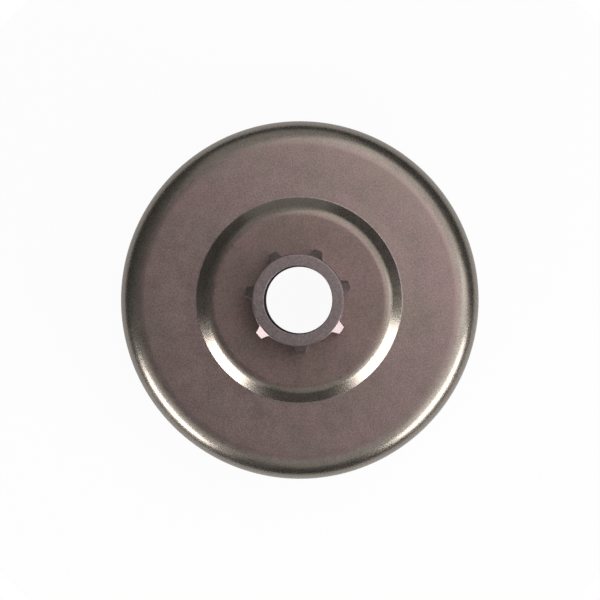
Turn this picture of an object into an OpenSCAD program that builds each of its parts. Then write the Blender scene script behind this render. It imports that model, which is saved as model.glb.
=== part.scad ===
// Clutch drum of a chainsaw with a splined hub that a loose chain rim slides onto.
// The drum stands on its open edge: z = 0 is that edge, and +Z runs up the bore to the hub's outer end.

/* [Drum] */
// Outside diameter of the drum
drum_d = 76; // [66:1:90]
// Height from the open edge to the flat of the face
drum_h = 17.8; // [15:0.2:24]
// Thickness of the pressed sheet
sheet_t = 2.3; // [1.8:0.1:2.8]
// Outside radius of the bend between the wall and the face
knee_r = 5.4; // [4:0.1:7]
// Bevel on both corners of the open edge
edge_bevel = 0.4; // [0.2:0.1:0.8]

/* [Raised middle] */
// Diameter at which the step meets the flat of the face
step_d = 43.4; // [38:0.2:50]
// Height of the raised middle above the flat
step_h = 2.2; // [1.6:0.1:3]
// Slope of the step against the flat, in degrees
step_angle = 38; // [32:1:48]
// Outside radius of the bend at the top of the step
crown_r = 3.4; // [3:0.1:5]
// Radius in the corner at the foot of the step
foot_r = 0.4; // [0.2:0.1:0.8]

/* [Shoe track] */
// Depth to which a band inside the wall is turned for the clutch shoes
track_cut = 0.1; // [0.05:0.05:0.3]
// Plain wall left between that band and the bend
track_stop = 0.8; // [0.4:0.2:3]

/* [Bore] */
// Diameter of the bore, a seat for a needle cage
bore_d = 14; // [11:0.5:18]
// Bevel at both ends of the bore
bore_bevel = 0.15; // [0.1:0.05:0.4]
// Wall of the hub between the bore and the root of the teeth
hub_wall = 2.5; // [2:0.1:3.5]

/* [Spline] */
// Number of teeth
tooth_count = 7; // [6:1:9]
// Height of a tooth above its root
tooth_h = 1.5; // [1:0.1:2]
// Width of a tooth across its tip
tip_w = 1.7; // [1.2:0.05:2.6]
// Slope of each flank against the middle of its tooth, in degrees
flank_angle = 20; // [10:1:28]
// Radius where a flank runs into the root
root_fillet = 0.35; // [0.1:0.05:0.5]
// Length of the teeth above the raised middle
spline_l = 14.5; // [10:0.5:20]
// Slope of the lead cone that is turned on the teeth, against the end face, in degrees
lead_angle = 40; // [25:1:50]
// Width of the bevel that the lead cone leaves on the ring between the teeth
ring_bevel = 0.15; // [0.05:0.05:0.3]

/* [Rivet] */
// Width of the shoulder at the root of the teeth that stands on the drum
shoulder_w = 0.8; // [0.5:0.1:1.4]
// How far the riveted collar spreads past the spigot and stands out inside the drum
collar_w = 1.8; // [1:0.1:2.4]

/* [Hidden] */
$fn = 128;

drum_r = drum_d / 2;
top_z = drum_h + step_h;
seat_z = top_z - sheet_t;

bore_r = bore_d / 2;
root_r = bore_r + hub_wall;
tip_r = root_r + tooth_h;
face_r = root_r - ring_bevel;
spigot_r = root_r - shoulder_w;
hub_top = top_z + spline_l;
hub_bottom = seat_z - collar_w;

// How far cuts run past the solids that they open
past = 1;
// How far a root fillet cuts into the root circle and the flank, so that it crosses both cleanly
fillet_bite = 0.01;

// Middles of the sheet's bends. Its outer and inner faces share them.
knee_at = [drum_r - knee_r, drum_h - knee_r];
foot_at = [step_d / 2 + foot_r * tan(step_angle / 2), drum_h + foot_r];
slope_run = (step_h - crown_r * (1 - cos(step_angle))) / tan(step_angle);
crown_at = [step_d / 2 - slope_run - crown_r * sin(step_angle), top_z - crown_r];

// A point at distance r from the middle of a bend, square to the slope of the step
function on_slope(middle, r) = middle + r * [sin(step_angle), cos(step_angle)];

// Everything under the face that lies depth inside the sheet's outer face, down to low
module under_face(depth, low) {
    difference() {
        union() {
            polygon([
                [0, low],
                [drum_r - depth, low],
                [drum_r - depth, knee_at.y],
                [knee_at.x, drum_h - depth],
                [foot_at.x, drum_h - depth],
                on_slope(foot_at, -foot_r - depth),
                on_slope(crown_at, crown_r - depth),
                [crown_at.x, top_z - depth],
                [0, top_z - depth]
            ]);
            translate(knee_at) circle(knee_r - depth);
            translate(crown_at) circle(crown_r - depth);
        }
        translate(foot_at) circle(foot_r + depth);
    }
}

// The band turned for the shoes, with the bevel that leads into it
module shoe_track() {
    track_r = drum_r - sheet_t + track_cut;
    track_top = knee_at.y - track_stop;
    mouth_r = track_r + edge_bevel;
    polygon([
        [0, -past],
        [mouth_r + past, -past],
        [mouth_r, 0],
        [track_r, edge_bevel],
        [track_r, track_top],
        [0, track_top]
    ]);
}

// The bevel round the outside of the open edge
module outer_bevel() {
    polygon([
        [drum_r - edge_bevel - past, -past],
        [drum_r + past, -past],
        [drum_r + past, edge_bevel + past]
    ]);
}

// The pressed cup: one sheet of even thickness, drawn over a stepped punch and pierced for the hub
module drum_cup() {
    color([0.46, 0.4, 0.385])
    rotate_extrude()
    difference() {
        under_face(0, 0);
        under_face(sheet_t, -past);
        shoe_track();
        outer_bevel();
        square([spigot_r, top_z + past]);
    }
}

// Half the width of a tooth at radius r
function half_width(r) = tip_w / 2 + (tip_r - r) * tan(flank_angle);

// A tooth's section, pointing along +X and sunk into the root so that both are one piece
module tooth() {
    buried = root_r - past;
    intersection() {
        circle(tip_r);
        polygon([
            [buried, -half_width(buried)],
            [tip_r + past, -half_width(tip_r + past)],
            [tip_r + past, half_width(tip_r + past)],
            [buried, half_width(buried)]
        ]);
    }
}

// The small web of metal in the corner between a flank and the root. The middle of its fillet
// lies fillet_gap from the root circle and from the line of the flank.
module root_web() {
    fillet_gap = root_fillet - fillet_bite;
    middle_r = root_r + fillet_gap;
    flanks_meet = tip_r + tip_w / 2 / tan(flank_angle);
    turn = asin((flanks_meet * sin(flank_angle) + fillet_gap) / middle_r) - flank_angle;
    toward = [cos(turn), sin(turn)];
    buried = root_r - root_fillet;
    difference() {
        polygon([
            [buried, 0],
            middle_r * toward - fillet_gap * [sin(flank_angle), cos(flank_angle)],
            middle_r * toward,
            buried * toward
        ]);
        translate(middle_r * toward) circle(root_fillet);
    }
}

// Section of the spline. One tooth points along -Y.
module spline_section() {
    circle(root_r);
    for (i = [0 : tooth_count - 1])
        rotate(i * 360 / tooth_count - 90) {
            tooth();
            root_web();
            mirror([0, 1]) root_web();
        }
}

// What the lead cone leaves standing of the spline
module lead_cone() {
    wide_r = tip_r + past;
    fall = (wide_r - face_r) * tan(lead_angle);
    rotate_extrude()
    polygon([
        [0, top_z - past],
        [wide_r, top_z - past],
        [wide_r, hub_top - fall],
        [face_r, hub_top],
        [0, hub_top]
    ]);
}

// The spigot through the drum and the collar that is riveted over inside it
module spigot() {
    rotate_extrude()
    union() {
        translate([0, hub_bottom]) square([spigot_r, top_z - hub_bottom + past]);
        intersection() {
            translate([spigot_r, seat_z]) circle(collar_w);
            translate([spigot_r - past, hub_bottom]) square([collar_w + 2 * past, collar_w]);
        }
    }
}

module bore() {
    bevel_r = bore_r + bore_bevel;
    rotate_extrude()
    polygon([
        [0, hub_bottom - past],
        [bevel_r + past, hub_bottom - past],
        [bevel_r, hub_bottom],
        [bore_r, hub_bottom + bore_bevel],
        [bore_r, hub_top - bore_bevel],
        [bevel_r, hub_top],
        [bevel_r + past, hub_top + past],
        [0, hub_top + past]
    ]);
}

// The hub: a splined sleeve that stands on the raised middle and is riveted through it
module splined_hub() {
    color([0.5, 0.46, 0.45])
    difference() {
        union() {
            intersection() {
                translate([0, 0, top_z]) linear_extrude(spline_l) spline_section();
                lead_cone();
            }
            spigot();
        }
        bore();
    }
}

drum_cup();
splined_hub();
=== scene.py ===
import math

import bpy
import numpy as np
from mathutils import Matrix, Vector, noise


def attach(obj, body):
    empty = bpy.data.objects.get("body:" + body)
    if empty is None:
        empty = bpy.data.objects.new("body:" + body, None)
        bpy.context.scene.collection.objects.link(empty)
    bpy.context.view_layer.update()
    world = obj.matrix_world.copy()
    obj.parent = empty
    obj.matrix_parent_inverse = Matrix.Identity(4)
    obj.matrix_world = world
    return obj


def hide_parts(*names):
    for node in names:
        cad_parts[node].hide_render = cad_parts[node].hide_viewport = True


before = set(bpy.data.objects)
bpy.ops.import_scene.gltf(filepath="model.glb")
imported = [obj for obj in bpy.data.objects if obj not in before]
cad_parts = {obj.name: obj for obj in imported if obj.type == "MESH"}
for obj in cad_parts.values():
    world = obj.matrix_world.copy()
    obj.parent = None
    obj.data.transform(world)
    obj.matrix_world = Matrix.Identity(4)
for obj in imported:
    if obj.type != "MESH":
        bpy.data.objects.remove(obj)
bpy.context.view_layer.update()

MM = 0.001

# The drum's sizes, as in the CAD source, in millimetres
DRUM_R = 38.0
DRUM_H = 17.8
SHEET_T = 2.3
KNEE_R = 5.4
EDGE_BEVEL = 0.4
STEP_R = 21.7
STEP_H = 2.2
STEP_ANGLE = math.radians(38)
CROWN_R = 3.4
FOOT_R = 0.4
TRACK_CUT = 0.1
TRACK_STOP = 0.8

# The hub's sizes, as in the CAD source, in millimetres
TEETH = 7
BORE_R = 7.0
BORE_BEVEL = 0.15
ROOT_R = 9.5
TIP_R = 11.0
TIP_W = 1.7
FLANK = math.radians(20)
ROOT_FILLET = 0.35
SPLINE_L = 14.5
LEAD = math.radians(40)
RING_BEVEL = 0.15
SPIGOT_R = 8.7
COLLAR_W = 1.8

TOP_Z = DRUM_H + STEP_H
SEAT_Z = TOP_Z - SHEET_T
HUB_TOP = TOP_Z + SPLINE_L
HUB_BOTTOM = SEAT_Z - COLLAR_W

# The photograph's frame, in pixels and millimetres
IMAGE_SIDE = 600
MM_PER_PIXEL = 0.213
CAMERA_AWAY = 600.0
SIGHT_LEVEL = 11.0
CAMERA_OFF_AXIS = 8.9
OBJECT_PIXEL = (299.77, 300.0)
IMAGE_TURN = math.radians(3.6)

# The round pale floor: its radius in metres, and how white it looks in the metal
FLOOR_R = 0.088
FLOOR_GLOW = 0.2

# Soft lamps round the drum: name, azimuth as seen in the photograph (0 is right, 90 is up), height
# in degrees, distance, width and height in metres, and brightness
LAMPS = (
    ("key", 38, 56, 0.45, 0.54, 0.44, 0.95),
    ("near", 38, 74, 0.35, 0.18, 0.15, 0.8),
    ("top", 98, 36, 0.5, 0.50, 0.54, 0.35),
    ("right", 342, 36, 0.5, 0.48, 0.26, 1.3),
    ("left", 224, 35, 0.5, 0.36, 0.20, 0.7),
    ("bottom", 290, 46, 0.5, 0.44, 0.42, 0.38),
    ("low_left", 220, 13, 0.5, 0.27, 0.12, 11.5),
    ("low_right", 325, 14.5, 0.5, 0.37, 0.14, 8.5),
)


# Geometry helpers

def arc(middle, radius, start, end, steps):
    """Points on an arc in (r, z), from angle start to angle end, in degrees."""
    angles = np.radians(np.linspace(start, end, steps + 1))
    return [(middle[0] + radius * math.cos(a), middle[1] + radius * math.sin(a)) for a in angles]


def path_of(*stretches, spacing=0.4):
    """Joins stretches of points into one, and fills long straight gaps at the spacing."""
    points = [p for stretch in stretches for p in stretch]
    joined = [points[0]]
    for p in points[1:]:
        last = joined[-1]
        gap = math.dist(last, p)
        if gap < 1e-6:
            continue
        pieces = max(1, math.ceil(gap / spacing))
        joined += [(last[0] + (p[0] - last[0]) * i / pieces, last[1] + (p[1] - last[1]) * i / pieces)
                   for i in range(1, pieces + 1)]
    return joined


def grid_mesh(name, grid, closed_rows):
    """A mesh from a grid of points in millimetres: grid[row][column]. Columns close round the axis."""
    rows, columns, _ = grid.shape
    index = np.arange(rows * columns).reshape(rows, columns)
    right = np.roll(index, -1, axis=1)
    last = rows if closed_rows else rows - 1
    above = np.roll(index, -1, axis=0)
    faces = np.stack([index[:last], right[:last], np.roll(above, -1, axis=1)[:last], above[:last]], axis=-1)
    mesh = bpy.data.meshes.new(name)
    mesh.from_pydata((grid.reshape(-1, 3) * MM).tolist(), [], faces.reshape(-1, 4).tolist())
    mesh.validate()
    mesh.shade_smooth()
    piece = bpy.data.objects.new(name, mesh)
    bpy.context.scene.collection.objects.link(piece)
    return piece


def store(piece, name, values):
    """Keeps one number for each vertex on the mesh, for its material to read."""
    kept = piece.data.attributes.new(name, "FLOAT", "POINT")
    kept.data.foreach_set("value", np.asarray(values, np.float32).ravel())


# The drum

def smooth_step(low, high, values):
    share = np.clip((values - low) / (high - low), 0, 1)
    return share * share * (3 - 2 * share)


def drum_section():
    """The sheet's section as a closed loop of (r, z), and how many of its points are outside."""
    slope = math.degrees(STEP_ANGLE)
    knee = (DRUM_R - KNEE_R, DRUM_H - KNEE_R)
    foot = (STEP_R + FOOT_R * math.tan(STEP_ANGLE / 2), DRUM_H + FOOT_R)
    run = (STEP_H - CROWN_R * (1 - math.cos(STEP_ANGLE))) / math.tan(STEP_ANGLE)
    crown = (STEP_R - run - CROWN_R * math.sin(STEP_ANGLE), TOP_Z - CROWN_R)
    track_r = DRUM_R - SHEET_T + TRACK_CUT
    track_top = knee[1] - TRACK_STOP
    edge = 0.12
    outer = path_of(
        [(SPIGOT_R, TOP_Z)],
        arc(crown, CROWN_R, 90, 90 - slope, 20),
        arc(foot, FOOT_R, 270 - slope, 270, 8),
        arc(knee, KNEE_R, 90, 0, 44),
        arc((DRUM_R - edge, EDGE_BEVEL + edge * 0.4), edge, 0, -45, 3),
        arc((DRUM_R - EDGE_BEVEL - edge * 0.4, edge), edge, -45, -90, 3),
    )
    inner = path_of(
        [(track_r + EDGE_BEVEL, 0), (track_r, EDGE_BEVEL), (track_r, track_top),
         (DRUM_R - SHEET_T, track_top)],
        arc(knee, KNEE_R - SHEET_T, 0, 90, 16),
        arc(foot, FOOT_R + SHEET_T, 270, 270 - slope, 10),
        arc(crown, CROWN_R - SHEET_T, 90 - slope, 90, 8),
        [(SPIGOT_R, SEAT_Z)],
        spacing=1.2,
    )
    section = np.array(outer + inner)
    r, z = section[:len(outer)].T
    sag = 0.03 * smooth_step(21.9, 24.5, r) + 0.045 * smooth_step(28.5, 34.5, r)
    section[:len(outer), 1] -= np.where(z > KNEE_R, sag * smooth_step(12.4, 17.0, z), 0)
    return section, len(outer)


def make_drum():
    section, outside = drum_section()
    turns = 360
    angle = np.arange(turns) * 2 * math.pi / turns
    grid = np.stack([
        section[:, 0, None] * np.cos(angle),
        section[:, 0, None] * np.sin(angle),
        np.repeat(section[:, 1, None], turns, axis=1),
    ], axis=-1)
    drum = grid_mesh("drum", grid[::-1], closed_rows=True)

    way = np.roll(section, -1, axis=0) - np.roll(section, 1, axis=0)
    tilt = np.abs(np.degrees(np.arctan2(way[:, 1], way[:, 0])))
    r, z = section.T
    top = np.arange(len(section)) < outside
    bend = np.where(top & (z > 2), smooth_step(3, 24, np.minimum(tilt, 180 - tilt)), 0)
    track = np.where(~top & (r > DRUM_R - SHEET_T - 0.05) & (z < DRUM_H - KNEE_R), 1.0, 0.0)
    for name, values in (("bend", bend), ("track", track)):
        store(drum, name, np.repeat(values[::-1], turns))
    return drum


# The hub

def half_tooth():
    """One side of a tooth, from its middle to the middle of the gap: points and outward normals."""
    corner_r = 0.12
    sin_f, cos_f = math.sin(FLANK), math.cos(FLANK)
    flank_off = TIP_R * sin_f + TIP_W / 2 * cos_f
    corner_turn = math.asin((flank_off - corner_r) / (TIP_R - corner_r)) - FLANK
    fillet_turn = math.asin((flank_off + ROOT_FILLET) / (ROOT_R + ROOT_FILLET)) - FLANK
    flank_way = math.pi / 2 - FLANK

    def swept(middle_r, middle_turn, radius, start, end, steps, side):
        middle = middle_r * np.array([math.cos(middle_turn), math.sin(middle_turn)])
        ways = np.linspace(start, end, steps)
        out = np.stack([np.cos(ways), np.sin(ways)], axis=1)
        return middle + radius * out, side * out

    tip = swept(0, 0, TIP_R, 0, corner_turn, 7, 1)
    corner = swept(TIP_R - corner_r, corner_turn, corner_r, corner_turn, flank_way, 6, 1)
    fillet = swept(ROOT_R + ROOT_FILLET, fillet_turn, ROOT_FILLET, flank_way + math.pi,
                   fillet_turn + math.pi, 9, -1)
    root = swept(0, 0, ROOT_R, fillet_turn, math.pi / TEETH, 12, 1)
    steps = np.linspace(0, 1, 12)[1:-1, None]
    flank_points = corner[0][-1] * (1 - steps) + fillet[0][0] * steps
    flank_normals = np.repeat(corner[1][-1:], len(steps), axis=0)
    points = np.concatenate([tip[0], corner[0][1:], flank_points, fillet[0], root[0][1:]])
    normals = np.concatenate([tip[1], corner[1][1:], flank_normals, fillet[1], root[1][1:]])
    return points, normals


def spline_outline():
    """The whole spline's outline, with its outward normals. One tooth points along -Y."""
    points, normals = half_tooth()
    flip = np.array([1, -1])
    whole = np.concatenate([points[:0:-1] * flip, points[:-1]])
    whole_n = np.concatenate([normals[:0:-1] * flip, normals[:-1]])
    outline, outline_n = [], []
    for tooth in range(TEETH):
        turn = 2 * math.pi * tooth / TEETH - math.pi / 2
        spin = np.array([[math.cos(turn), math.sin(turn)], [-math.sin(turn), math.cos(turn)]])
        outline.append(whole @ spin)
        outline_n.append(whole_n @ spin)
    return np.concatenate(outline), np.concatenate(outline_n)


def make_hub():
    outline, normals = spline_outline()
    around = outline / np.linalg.norm(outline, axis=1, keepdims=True)
    face_r = ROOT_R - RING_BEVEL

    def cone_z(points):
        return HUB_TOP - (np.linalg.norm(points, axis=1) - face_r) * math.tan(LEAD)

    def level(points, z):
        return np.concatenate([points, np.broadcast_to(z, (len(points),))[:, None]], axis=1)

    edge = 0.1
    rows = []
    wall_top = cone_z(outline) - edge
    for share in np.linspace(0, 1, 24):
        rows.append(level(outline, TOP_Z + (wall_top - TOP_Z) * share))
    for turn in np.radians(np.linspace(0, 90, 6)[1:]):
        moved = outline - normals * edge * (1 - math.cos(turn))
        rows.append(level(moved, cone_z(moved) - edge * (1 - math.sin(turn))))
    shrunk = outline - normals * edge
    ring = around * face_r
    for share in np.linspace(0, 1, 10)[1:-1]:
        moved = shrunk + (ring - shrunk) * share
        rows.append(level(moved, cone_z(moved)))
    ring_edge = 0.05
    for r, z in path_of(
        [(face_r + ring_edge * 0.6, HUB_TOP - ring_edge * 0.5), (face_r, HUB_TOP - ring_edge * 0.15),
         (face_r - ring_edge, HUB_TOP), (BORE_R + BORE_BEVEL + ring_edge, HUB_TOP)],
        arc((BORE_R + BORE_BEVEL, HUB_TOP - BORE_BEVEL), BORE_BEVEL, 90, 180, 5),
        [(BORE_R, HUB_BOTTOM + BORE_BEVEL), (BORE_R + BORE_BEVEL, HUB_BOTTOM), (SPIGOT_R, HUB_BOTTOM)],
        arc((SPIGOT_R, SEAT_Z), COLLAR_W, -90, 0, 12),
        [(SPIGOT_R, SEAT_Z), (SPIGOT_R, TOP_Z)],
        spacing=0.5,
    ):
        rows.append(level(around * r, z))
    grid = np.stack(rows)
    return grid_mesh("hub", grid, closed_rows=True)


# Materials

class Graph:
    """Builds one material's nodes. A number or a socket goes in wherever a value is asked for."""

    def __init__(self, name):
        self.material = bpy.data.materials.new(name)
        self.material.use_nodes = True
        self.tree = self.material.node_tree
        self.shader = self.tree.nodes["Principled BSDF"]
        place = self.node("ShaderNodeTexCoord").outputs["Object"]
        self.place = self.vector("SCALE", place, Scale=1 / MM)
        self.x, self.y, self.z = self.node("ShaderNodeSeparateXYZ", Vector=self.place).outputs
        flat = self.node("ShaderNodeCombineXYZ", X=self.x, Y=self.y).outputs[0]
        self.radius = self.vector("LENGTH", flat, output="Value")
        self.turn = self.math("ARCTAN2", self.y, self.x)

    def node(self, kind, settings=(), **inputs):
        made = self.tree.nodes.new(kind)
        for name, value in dict(settings).items():
            setattr(made, name, value)
        for name, value in inputs.items():
            self.feed(made.inputs[name.replace("_", " ")], value)
        return made

    def feed(self, socket, value):
        if isinstance(value, bpy.types.NodeSocket):
            self.tree.links.new(value, socket)
        else:
            socket.default_value = value

    def math(self, operation, first, second=0.0, third=0.0, clamp=False):
        made = self.node("ShaderNodeMath", {"operation": operation, "use_clamp": clamp})
        for socket, value in zip(made.inputs, (first, second, third)):
            self.feed(socket, value)
        return made.outputs[0]

    def vector(self, operation, first, output="Vector", **inputs):
        made = self.node("ShaderNodeVectorMath", {"operation": operation}, **inputs)
        self.feed(made.inputs[0], first)
        return made.outputs[output]

    def spread(self, value, low, high, to_low=0.0, to_high=1.0):
        """A smooth change from to_low to to_high as the value goes from low to high."""
        made = self.node("ShaderNodeMapRange", {"interpolation_type": "SMOOTHSTEP"}, Value=value)
        for socket, number in zip(list(made.inputs)[1:5], (low, high, to_low, to_high)):
            self.feed(socket, number)
        return made.outputs[0]

    def noise(self, size, detail=2.0, seed=0.0, vector=None, roughness=0.5):
        """Noise from 0 to 1 whose patches measure about the size, in millimetres."""
        made = self.node("ShaderNodeTexNoise", {"noise_dimensions": "4D"}, Vector=vector or self.place,
                         W=seed, Scale=1 / size, Detail=detail, Roughness=roughness)
        return made.outputs["Fac"]

    def mix(self, share, first, second, blend="MIX"):
        """Blends two colours."""
        made = self.node("ShaderNodeMix", {"data_type": "RGBA", "blend_type": blend}, Factor=share)
        self.feed(made.inputs["A"], first)
        self.feed(made.inputs["B"], second)
        return made.outputs["Result"]

    def attribute(self, name):
        return self.node("ShaderNodeAttribute", {"attribute_name": name}).outputs["Fac"]

    def grey(self, value):
        return self.node("ShaderNodeCombineColor", Red=value, Green=value, Blue=value).outputs[0]

    def near(self, middle, inner, outer):
        """1 within the inner distance of a place in millimetres, 0 beyond the outer one."""
        gap = self.vector("DISTANCE", self.place, output="Value", Vector_001=middle)
        return self.spread(gap, outer, inner)


def drum_material():
    g = Graph("drum_steel")
    bend, track = g.attribute("bend"), g.attribute("track")
    cloud = g.noise(9, 4, 1)
    patch = g.noise(3, 3, 2)
    speck = g.noise(0.3, 2, 3, roughness=0.7)
    fleck = g.noise(0.42, 1, 4)

    mauve = g.mix(g.spread(cloud, 0.35, 0.65), (0.31, 0.222, 0.215, 1), (0.285, 0.218, 0.198, 1))
    olive = (0.29, 0.255, 0.22, 1)
    film = g.mix(bend, mauve, olive)

    # Painted shade mixed with heat tint: the raised middle round the hub is darkened, partly as painted shade
    # cast by the hub and partly as the steel's heat tint.
    hub_shade_and_tint = g.spread(g.radius, 21.7, 17.5)
    film = g.mix(g.math("MULTIPLY", hub_shade_and_tint, 0.9), film, g.mix(1.0, film, (0.82, 0.8, 0.78, 1), "MULTIPLY"))

    shade = g.math("ADD", g.spread(speck, 0.2, 0.8, 0.72, 1.28), g.spread(patch, 0.2, 0.8, -0.06, 0.06))
    shade = g.math("ADD", shade, g.spread(fleck, 0.7, 0.82, 0, 0.35))
    film = g.mix(1.0, film, g.grey(shade), "MULTIPLY")
    film = g.mix(track, film, (0.5, 0.49, 0.48, 1))
    g.feed(g.shader.inputs["Base Color"], film)

    rough = g.math("ADD", g.spread(speck, 0.2, 0.8, 0.34, 0.42), g.math("MULTIPLY", bend, -0.1))
    rough = g.math("ADD", rough, g.spread(patch, 0.2, 0.8, -0.02, 0.02))
    g.feed(g.shader.inputs["Roughness"], rough)
    g.shader.inputs["Metallic"].default_value = 1.0

    bump = g.node("ShaderNodeBump", Height=speck, Strength=0.25, Distance=0.00002)
    g.feed(g.shader.inputs["Normal"], bump.outputs[0])
    return g.material


def hub_material():
    g = Graph("hub_steel")
    speck = g.noise(0.3, 2, 5, roughness=0.7)
    shade = g.spread(speck, 0.2, 0.8, 0.7, 1.3)
    film = g.mix(1.0, (0.25, 0.2, 0.2, 1), g.grey(shade), "MULTIPLY")
    g.feed(g.shader.inputs["Base Color"], film)
    g.shader.inputs["Metallic"].default_value = 1.0
    g.feed(g.shader.inputs["Roughness"], g.spread(speck, 0.2, 0.8, 0.32, 0.44))
    bump = g.node("ShaderNodeBump", Height=speck, Strength=0.3, Distance=0.00002)
    g.feed(g.shader.inputs["Normal"], bump.outputs[0])
    return g.material


# Painted shade: the bore wall gets a near-black, rough and dull finish so that it reads as the shaded inside
# of the bore.
def bore_shade_material():
    g = Graph("bore_painted_shade")
    speck = g.noise(0.5, 3, 6)
    g.feed(g.shader.inputs["Base Color"], g.mix(speck, (0.008, 0.007, 0.007, 1), (0.02, 0.018, 0.017, 1)))
    g.feed(g.shader.inputs["Roughness"], g.spread(speck, 0.3, 0.7, 0.6, 0.8))
    g.shader.inputs["Specular IOR Level"].default_value = 0.2
    return g.material


# Stage

def make_floor():
    """A round pale floor, white to the camera and through the bore, that keeps the drum's shadow."""
    bpy.ops.mesh.primitive_circle_add(vertices=96, radius=FLOOR_R, fill_type="NGON")
    floor = bpy.context.object
    floor.name = "floor"
    material = bpy.data.materials.new("floor")
    material.use_nodes = True
    nodes, links = material.node_tree.nodes, material.node_tree.links
    nodes.remove(nodes["Principled BSDF"])
    plain = nodes.new("ShaderNodeBsdfDiffuse")
    plain.inputs["Color"].default_value = (0.8, 0.8, 0.8, 1)
    bright = nodes.new("ShaderNodeEmission")
    path = nodes.new("ShaderNodeLightPath")
    share = 0.0
    for ray, weight in (("Is Camera Ray", 0.95), ("Is Transmission Ray", 0.95), ("Is Glossy Ray", FLOOR_GLOW)):
        part = nodes.new("ShaderNodeMath")
        part.operation = "MULTIPLY_ADD"
        links.new(path.outputs[ray], part.inputs[0])
        part.inputs[1].default_value = weight
        if share:
            links.new(share, part.inputs[2])
        else:
            part.inputs[2].default_value = 0.0
        share = part.outputs[0]
    mix = nodes.new("ShaderNodeMixShader")
    links.new(share, mix.inputs["Fac"])
    links.new(plain.outputs[0], mix.inputs[1])
    links.new(bright.outputs[0], mix.inputs[2])
    links.new(mix.outputs[0], nodes["Material Output"].inputs["Surface"])
    floor.data.materials.append(material)


def make_world():
    world = bpy.data.worlds.new("studio")
    bpy.context.scene.world = world
    world.use_nodes = True
    nodes, links = world.node_tree.nodes, world.node_tree.links
    background = nodes["Background"]
    path = nodes.new("ShaderNodeLightPath")
    place = nodes.new("ShaderNodeTexCoord")
    split = nodes.new("ShaderNodeSeparateXYZ")
    sky = nodes.new("ShaderNodeValToRGB")
    sky.color_ramp.elements[0].position = 0.5
    sky.color_ramp.elements[0].color = (0.08, 0.08, 0.08, 1)
    sky.color_ramp.elements[1].position = 1.0
    sky.color_ramp.elements[1].color = (0.2, 0.2, 0.2, 1)
    half = nodes.new("ShaderNodeMapRange")
    half.inputs["From Min"].default_value = -1
    links.new(place.outputs["Generated"], split.inputs[0])
    links.new(split.outputs["Z"], half.inputs["Value"])
    links.new(half.outputs[0], sky.inputs["Fac"])
    mix = nodes.new("ShaderNodeMix")
    mix.data_type = "RGBA"
    links.new(path.outputs["Is Camera Ray"], mix.inputs["Factor"])
    links.new(sky.outputs["Color"], mix.inputs["A"])
    mix.inputs["B"].default_value = (1, 1, 1, 1)
    links.new(mix.outputs["Result"], background.inputs["Color"])


def make_lamp(name, azimuth, elevation, away, width, height, power):
    """An area lamp that faces the drum. Azimuth is as seen in the photograph, 0 to the right."""
    data = bpy.data.lights.new(name, "AREA")
    data.shape = "RECTANGLE"
    data.size, data.size_y = width, height
    data.energy = power * math.pi * width * height
    lamp = bpy.data.objects.new(name, data)
    bpy.context.scene.collection.objects.link(lamp)
    turn = math.radians(azimuth) - IMAGE_TURN
    rise = math.radians(elevation)
    target = Vector((0, 0, 0.018))
    lamp.visible_camera = False
    lamp.location = target + away * Vector((
        math.cos(turn) * math.cos(rise), math.sin(turn) * math.cos(rise), math.sin(rise)))
    lamp.rotation_mode = "QUATERNION"
    lamp.rotation_quaternion = (target - lamp.location).to_track_quat("-Z", "Y")
    return lamp


def make_camera():
    data = bpy.data.cameras.new("camera")
    data.sensor_width = 36
    data.lens = data.sensor_width * CAMERA_AWAY / (IMAGE_SIDE * MM_PER_PIXEL)
    camera = bpy.data.objects.new("camera", data)
    bpy.context.scene.collection.objects.link(camera)
    camera.location = Vector((CAMERA_OFF_AXIS, 0, SIGHT_LEVEL + CAMERA_AWAY)) * MM
    target = Vector((0, 0, SIGHT_LEVEL)) * MM
    camera.rotation_mode = "QUATERNION"
    look = (target - camera.location).normalized()
    up = Vector((math.sin(IMAGE_TURN), math.cos(IMAGE_TURN), 0))
    right = look.cross(up).normalized()
    up = right.cross(look)
    from mathutils import Matrix
    camera.rotation_quaternion = Matrix((right, up, -look)).transposed().to_quaternion()
    off = [(IMAGE_SIDE / 2 - OBJECT_PIXEL[0]), (OBJECT_PIXEL[1] - IMAGE_SIDE / 2)]
    data.shift_x = off[0] / IMAGE_SIDE
    data.shift_y = off[1] / IMAGE_SIDE
    bpy.context.scene.camera = camera


bpy.context.scene.view_settings.view_transform = "Standard"
make_camera()
make_world()
make_floor()
drum = make_drum()
hub = make_hub()
drum.data.materials.append(drum_material())
hub.data.materials.append(hub_material())
hub.data.materials.append(bore_shade_material())
# The bore wall's faces take the second finish, the near-black painted shade.
for face in hub.data.polygons:
    middle = face.center / MM
    if math.hypot(middle.x, middle.y) < BORE_R + 0.02 and abs(face.normal.z) < 0.3:
        face.material_index = 1
for piece, node, slot in ((drum, "drum_cup", "drum_steel"), (hub, "splined_hub", "hub_steel")):
    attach(piece, "root")
    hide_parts(node)

for lamp in LAMPS:
    make_lamp(*lamp)
